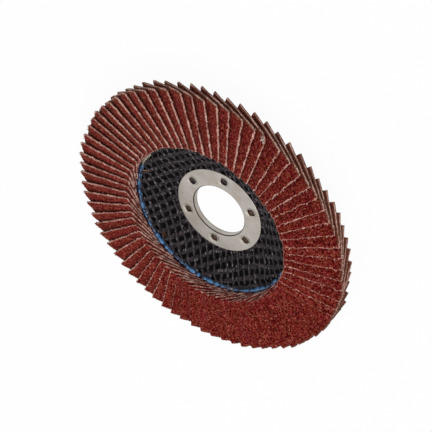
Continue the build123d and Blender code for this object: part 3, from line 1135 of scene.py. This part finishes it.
@dataclass
class FlapRing:
    """Seventy-two leaves of abrasive cloth, each leaning on the next, two to a piece."""

    count: int = 72
    thickness: float = 0.8
    length: float = 23.6
    width: float = 15.6
    inner: float = 33.4
    free_offset: float = 7.8
    free_height: float = 14.007
    tilt: float = 20.48
    first_angle: float = 8.1
    drift: float = 0.1
    swing: float = 0.055
    creep: float = 0.25
    yaw: float = 0.5
    fine_width: float = 6.0
    fine_columns: int = 79
    fine_rows: int = 20
    side_layers: tuple[float, ...] = (0.24, 0.28, 0.28)
    edge_tufts: int = 9
    end_tufts: int = 4
    rim_lean: float = 0.5
    chipped: int = 19
    chip: tuple[float, float] = (2.2, 1.1)
    offset: tuple[float, float] = (0.29, 0.12)
    crisp: tuple[float, float] = (-22.0, 54.0)
    seed: int = 700

    def wave(self, index: int, turns: int, start: float = 0.0) -> float:
        """One value of an even ripple that closes on itself after the last flap."""
        return math.sin(2 * math.pi * turns * index / self.count + start)

    def angle(self, index: int) -> float:
        """Angle of a flap's radial line, in radians."""
        drift = self.drift * self.wave(index, 3, 1.05)
        swing = self.swing * (0.6 * self.wave(index, 27) + 0.4 * self.wave(index, 11, 1.0))
        return math.radians(self.first_angle + 360 / self.count * (index + drift + swing))

    def fray(self, index: int) -> float:
        """How frayed a flap's edges are, from 0 to 1: on one side the cutter's blade was fresh."""
        off = (math.degrees(self.angle(index)) - self.crisp[0] + 180) % 360 - 180
        return 0.12 + 0.88 * float(smooth_step(self.crisp[1] - 14, self.crisp[1], abs(off)))

    def tuft(self, number: int) -> Object:
        """One short frayed yarn end, standing on the origin and bent at its middle."""
        yarn = add_primitive(
            bpy.ops.mesh.primitive_cone_add, f"tuft_{number}", vertices=5, radius1=0.15 * MM,
            radius2=0.09 * MM, depth=0.4 * MM, location=(0, 0, 0.2 * MM)
        )
        bpy.ops.object.transform_apply(location=True, rotation=True, scale=True)
        with editing(yarn):
            pick(yarn, Part.FACES, lambda middle: middle.z > 0.35)
            extrude_by(x=0.1, z=0.22)
            bpy.ops.transform.resize(value=(0.5, 0.5, 1.0))
            clean_shell()
        write_attribute(yarn.data, "tuft", np.full(len(yarn.data.vertices), float(number)))
        return yarn

    def leaf(self) -> Object:
        """Models one flat flap with its tufts: x outwards, y from the free edge, grit at z = 0."""
        flap = add_primitive(
            bpy.ops.mesh.primitive_grid_add, "flap", x_subdivisions=self.fine_columns,
            y_subdivisions=self.fine_rows, size=1.0 * MM
        )
        coarse = [1.2, 1.8, 3.0, self.width - self.fine_width - 6.0]
        with editing(flap):
            bpy.ops.mesh.select_all(action="SELECT")
            bpy.ops.transform.resize(value=(self.length, self.fine_width, 1.0))
            bpy.ops.transform.translate(value=(self.length / 2 * MM, self.fine_width / 2 * MM, 0.0))
            reach = self.fine_width
            for step in coarse:
                pick(flap, Part.EDGES, lambda middle, y=reach: middle.y > y - 0.01)
                extrude_by(y=step)
                reach += step
            bpy.ops.mesh.select_mode(type="FACE")
            bpy.ops.mesh.select_all(action="SELECT")
            for layer in self.side_layers:
                extrude_by(z=-layer)
            clean_shell()
            self.thin_underside(flap)
        write_attribute(flap.data, "tuft", np.zeros(len(flap.data.vertices)))
        tufts = [self.tuft(number + 1) for number in range(self.edge_tufts + self.end_tufts)]
        flap = join_pieces([flap] + tufts)
        for finish in (GritCoat(), CutClothEdge(), ClothBack()):
            flap.data.materials.append(finish.make())
        self.sort_faces(flap.data)
        return flap

    def thin_underside(self, flap: Object) -> None:
        """Dissolves most of the underside's edges, in edit mode, as its cloth is smooth."""
        bottom = -self.thickness
        column, row = self.length / self.fine_columns, self.fine_width / self.fine_rows
        bpy.ops.mesh.select_mode(type="EDGE")
        bpy.ops.mesh.select_all(action="DESELECT")
        shape = bmesh.from_edit_mesh(flap.data)
        for edge in shape.edges:
            a, b = (v.co / MM for v in edge.verts)
            if max(a.z, b.z) > bottom + 0.01:
                continue
            if any(abs(f.normal.z) < 0.5 for f in edge.link_faces):
                continue
            if abs(a.x - b.x) < 0.01:
                kept = round(a.x / column) % 8 == 0
            else:
                kept = a.y > self.fine_width - 0.01 or round(a.y / row) % 7 == 0
            edge.select_set(not kept)
        shape.select_flush_mode()
        bmesh.update_edit_mesh(flap.data)
        bpy.ops.mesh.dissolve_edges(use_verts=True)

    def sort_faces(self, mesh: Mesh) -> None:
        """Gives the grit face, the cut edges and the back their own finishes."""
        tufts = np.empty(len(mesh.vertices), np.float32)
        mesh.attributes["tuft"].data.foreach_get("value", tufts)
        for face in mesh.polygons:
            if tufts[face.vertices[0]] > 0.5 or abs(face.normal.z) < 0.5:
                face.material_index = Face.CUT.value
            elif face.center.z > -0.01 * MM:
                face.material_index = Face.GRIT.value
            else:
                face.material_index = Face.BACK.value

    def lay_tufts(
        self, flat: np.ndarray, tuft: np.ndarray, rng: np.random.Generator, index: int
    ) -> np.ndarray:
        """Moves each yarn end to its own place along the free edge or the outer end.

        Args:
            flat: The flap's points, changed in place.
            tuft: Each point's tuft number, 0 for the flap itself.
            rng: This flap's random numbers.
            index: The flap's number. The chipped flap's yarn ends stand in its broken corner.

        Returns:
            The foot of the tuft that each point belongs to.
        """
        feet = flat.copy()
        torn = index == self.chipped
        for number in range(1, self.edge_tufts + self.end_tufts + 1):
            mine = tuft == number
            local = flat[mine]
            size = rng.uniform(0.55, 1.4) * (1.5 if torn else 0.3 + 0.7 * self.fray(index))
            lean, spin = rng.uniform(-0.7, 0.7), rng.uniform(0, 2 * math.pi)
            depth = -rng.uniform(0.08, 0.34)
            turn = Matrix.Rotation(lean, 3, "Z")
            if torn:
                foot = (self.length - rng.uniform(0.2, 2.3), rng.uniform(0.3, 1.7), -0.1)
                turn = turn @ Matrix.Rotation(rng.uniform(0.2, 1.4), 3, "X")
            elif number <= self.edge_tufts:
                share = (number - 0.5 + rng.uniform(-0.45, 0.45)) / self.edge_tufts
                foot = (share * self.length, 0.12, depth)
                turn = turn @ Matrix.Rotation(math.pi / 2 + rng.uniform(-0.5, 0.2), 3, "X")
            else:
                share = (number - self.edge_tufts - 0.7 + rng.uniform(-0.3, 0.3)) / self.end_tufts
                foot = (self.length - 0.15, abs(share) * 4.0, depth)
                turn = turn @ Matrix.Rotation(math.pi / 2 + rng.uniform(-0.3, 0.3), 3, "Y")
            turn = turn @ Matrix.Rotation(spin, 3, "Z")
            flat[mine] = size * local @ np.array(turn).T + foot
            feet[mine] = foot
        return feet

    def weather(self, flat: np.ndarray, tuft: np.ndarray, index: int) -> np.ndarray:
        """Gives one flap its own grain, frayed edges, curl and yarn ends.

        Args:
            flat: The flap's points, flat and unworn.
            tuft: Each point's tuft number, 0 for the flap itself.
            index: The flap's number.

        Returns:
            The places that the materials read: outwards, from the free edge, and depth.
        """
        rng = np.random.default_rng(self.seed + index)
        mark = index * 7
        lay = self.lay_tufts(flat, tuft, rng, index)
        x, y, z = lay.T.copy()
        lay[:, 2] = -z
        leaf = tuft < 0.5
        top = leaf & (z > -0.01)
        grain = np.clip(rng.normal(0, 0.05, len(z)), -0.11, 0.11)
        grain += 0.03 * value_noise(x, y, 1.1, self.seed + mark)
        flat[:, 2] += np.where(top, grain, 0)

        # The free edge wanders by the pull of the yarns, and a few threads stand out of it
        edge = 0.24 * value_noise(x, z * 3, 1.9, self.seed + mark + 1)
        edge += 0.16 * value_noise(x, z * 3, 0.6, self.seed + mark + 2)
        for _ in range(5):
            at, size = rng.uniform(0.5, self.length - 0.5), rng.uniform(0.12, 0.42)
            edge -= size * np.exp(-(((x - at) / 0.32) ** 2))
        flat[:, 1] += edge * np.exp(-np.maximum(y, 0) / 0.7)
        flat[:, 2] -= np.where(top, 0.13 * np.exp(-y / 0.22), 0)
        end = 0.17 * value_noise(y, z * 5, 0.55, self.seed + mark + 3)
        end += 0.14 * value_noise(y, z * 3, 1.7, self.seed + mark + 4)
        # The outer end is worn back and rounded at its free corner
        blunt = self.rim_lean * (y / self.width - 0.5) - 0.3 * np.exp(-np.maximum(y, 0) / 1.0)
        flat[:, 0] += (end + blunt) * np.exp(-np.abs(self.length - x) / 0.7)
        flat[:, 2] -= np.where(top, 0.16 * np.exp(-np.abs(self.length - x) / 0.3), 0)
        flat[:, 0] -= end * np.exp(-np.abs(x) / 0.5)

        # The outer free corner is not held by the next flap, so it may curl
        curl = rng.uniform(-0.15, 0.15)
        corner = np.clip((x - self.length + 7) / 7, 0, 1) ** 2 * np.clip(1 - y / 4.5, 0, 1) ** 2
        flat[:, 2] += curl * corner
        if index == self.chipped:
            self.chip_corner(flat, x, y)
        return lay

    def chip_corner(self, flat: np.ndarray, x: np.ndarray, y: np.ndarray) -> None:
        """Breaks the outer free corner off one flap, with a ragged line."""
        length, depth = self.chip
        share = np.clip((x - (self.length - length)) / length, 0, 1)
        line = depth * 1.8 * share + 0.25 * value_noise(x, y * 0, 0.5, self.seed) * (share > 0)
        near = y < depth * 1.8
        flat[:, 1] = np.where(near & (flat[:, 1] < line), line + 0.12 * y, flat[:, 1])

    def place(self, flat: np.ndarray, index: int) -> np.ndarray:
        """Lays a flap's points into the ring.

        Args:
            flat: Points in the flap's own plane.
            index: The flap's number.

        Returns:
            Points in the disc's frame.
        """
        angle, tilt = self.angle(index), math.radians(self.tilt)
        yaw = math.radians(self.yaw * self.wave(index, 23, 2.0))
        x, y = flat[:, 0] - self.length / 2, flat[:, 1] - self.width / 2
        middle = self.inner + self.length / 2 + self.creep * self.wave(index, 17)
        along = x * math.cos(yaw) - y * math.sin(yaw) + middle
        down = x * math.sin(yaw) + y * math.cos(yaw) + self.width / 2
        outwards = np.array([math.cos(angle), math.sin(angle), 0])
        across = np.array([-math.sin(angle), math.cos(angle), 0])
        up = np.array([0, 0, 1.0])
        normal = across * math.sin(tilt) + up * math.cos(tilt)
        slope = across * math.cos(tilt) - up * math.sin(tilt)
        origin = across * -self.free_offset + up * self.free_height
        return (origin + np.outer(along, outwards) + np.outer(down, slope) + np.outer(flat[:, 2], normal))

    def sway(self, points: np.ndarray) -> np.ndarray:
        """Bends the whole ring a little, smoothly, so that neighbours move together.

        The glued ring also sits a few tenths off the bore axis.
        """
        angle = np.arctan2(points[:, 1], points[:, 0])
        radius = np.hypot(points[:, 0], points[:, 1])
        loose = smooth_step(36, 56, radius)
        lift = 0.16 * np.sin(5 * angle + 0.7) + 0.12 * np.sin(9 * angle + 2.1)
        swing = 0.2 * np.sin(7 * angle + 1.3) + 0.14 * np.sin(13 * angle)
        points[:, 0] -= np.sin(angle) * swing * loose
        points[:, 1] += np.cos(angle) * swing * loose
        points[:, 2] += lift * loose
        points[:, :2] += self.offset
        return points

    def build(self) -> list[Object]:
        """Copies the flap round the ring, each with its own mesh, and joins neighbours in pairs."""
        pattern = self.leaf()
        flat = read_points(pattern.data)
        tuft = np.empty(len(flat), np.float32)
        pattern.data.attributes["tuft"].data.foreach_get("value", tuft)
        tones = np.random.default_rng(self.seed).uniform(0, 1, self.count)
        pairs = []
        for first in range(0, self.count, 2):
            flaps = []
            for index in (first, first + 1):
                flap = bpy.data.objects.new("flap", pattern.data.copy())
                bpy.context.scene.collection.objects.link(flap)
                own = flat.copy()
                lay = self.weather(own, tuft, index)
                write_points(flap.data, self.sway(self.place(own, index)))
                write_attribute(flap.data, "lay", lay)
                write_attribute(flap.data, "tone", np.full(len(own), tones[index]))
                write_attribute(flap.data, "fray", np.full(len(own), self.fray(index)))
                frayed = 2.0 if index == self.chipped else 1.0
                write_attribute(flap.data, "frayed", np.where(tuft > 0.5, frayed, 0.0))
                flaps.append(flap)
            pair = join_pieces(flaps)
            number = first // 2 + 1
            pair.name = pair.data.name = f"abrasive_flaps_{number:02d}"
            pair.data.attributes.remove(pair.data.attributes["tuft"])
            pairs.append(hand_over(pair, [f"flap_pair_{number:02d}"], 45))
        bpy.data.objects.remove(pattern)
        return pairs


@dataclass
class Studio:
    """Camera at the photograph's angle, a white floor and plain soft light."""

    eye: tuple[float, float, float] = (0.599, 292.557, 239.361)
    target: tuple[float, float, float] = (0.599, -3.78, 2.3)
    roll: float = -135.73
    lens: float = 84.16
    sensor: float = 36.0
    world_strength: float = 0.62
    floor_glow: float = 0.96

    def set_camera(self) -> None:
        """Makes the scene's camera."""
        camera = bpy.data.objects.new("camera", bpy.data.cameras.new("camera"))
        bpy.context.scene.collection.objects.link(camera)
        camera.data.lens = self.lens
        camera.data.sensor_width = self.sensor
        camera.data.clip_start = 0.01
        camera.location = Vector(self.eye) * MM
        aim = (Vector(self.target) - Vector(self.eye)).to_track_quat("-Z", "Y")
        camera.rotation_mode = "QUATERNION"
        camera.rotation_quaternion = aim @ Quaternion((0, 0, 1), math.radians(self.roll))
        bpy.context.scene.camera = camera

    def direct_sight(self, tree: NodeTree) -> NodeSocket:
        """1 for camera, glossy and transmission rays, which see the white background."""
        path = add_node(tree, "LightPath")
        seen = add_node(
            tree, "Math", {0: path["Is Camera Ray"], 1: path["Is Glossy Ray"]}, operation="MAXIMUM"
        )[0]
        return add_node(tree, "Math", {0: seen, 1: path["Is Transmission Ray"]}, operation="MAXIMUM")[0]

    def set_world(self) -> None:
        """Makes the even white surroundings."""
        world = bpy.data.worlds.new("studio")
        bpy.context.scene.world = world
        world.use_nodes = True
        tree = world.node_tree
        tree.nodes.clear()
        strength = add_node(
            tree, "Mix", {0: self.direct_sight(tree), 2: self.world_strength, 3: 1.0}, data_type="FLOAT"
        )[0]
        glow = add_node(tree, "Background", {"Color": "#FFFFFF", "Strength": strength})
        add_node(tree, "OutputWorld", {"Surface": glow[0]})

    def set_floor(self) -> None:
        """Makes the floor, white to the eye but for the object's faint shadow."""
        floor = add_primitive(
            bpy.ops.mesh.primitive_plane_add, "studio_floor", size=6.0, location=(0, 0, -0.05 * MM)
        )
        material = bpy.data.materials.new("white_paper_sweep")
        material.use_nodes = True
        tree = material.node_tree
        tree.nodes.clear()
        matt = add_node(tree, "BsdfDiffuse", {"Color": "#F2F2F2"})[0]
        white = add_node(tree, "Emission", {"Strength": 1.0})[0]
        share = add_node(
            tree, "Math", {0: self.direct_sight(tree), 1: self.floor_glow}, operation="MULTIPLY"
        )[0]
        mixed = add_node(tree, "MixShader", {0: share, 1: matt, 2: white})[0]
        add_node(tree, "OutputMaterial", {"Surface": mixed})
        floor.data.materials.append(material)

    def add_lamp(self, name: str, place: tuple[float, float, float], size: float, watts: float) -> None:
        """Adds a soft square lamp that faces the disc.

        Args:
            name: The lamp's name.
            place: Where it hangs, in metres.
            size: Side of the square, in metres.
            watts: Its power.
        """
        bpy.ops.object.select_all(action="DESELECT")
        bpy.ops.object.light_add(type="AREA", location=place)
        lamp = bpy.context.active_object
        lamp.name = name
        lamp.data.size = size
        lamp.data.energy = watts
        lamp.rotation_mode = "QUATERNION"
        lamp.rotation_quaternion = (-Vector(place)).to_track_quat("-Z", "Y")

    def build(self) -> None:
        """Sets up the light and the floor."""
        bpy.context.scene.view_settings.view_transform = "Standard"
        self.set_world()
        self.set_floor()
        self.add_lamp("key_softbox", (0.55, 0.25, 0.9), 0.5, 4.2)


def main() -> None:
    """Builds the studio and every piece of the disc, in order."""
    logging.basicConfig(level=logging.INFO, format="%(name)s: %(message)s")
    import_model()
    studio = Studio()
    studio.set_camera()
    studio.build()
    BoreRing().build()
    WovenFace().build()
    PressedPlate().build()
    AdhesiveBead().build()
    StrayYarn().build()
    FlapRing().build()
    bpy.ops.object.select_all(action="DESELECT")


if __name__ == "__main__":
    main()
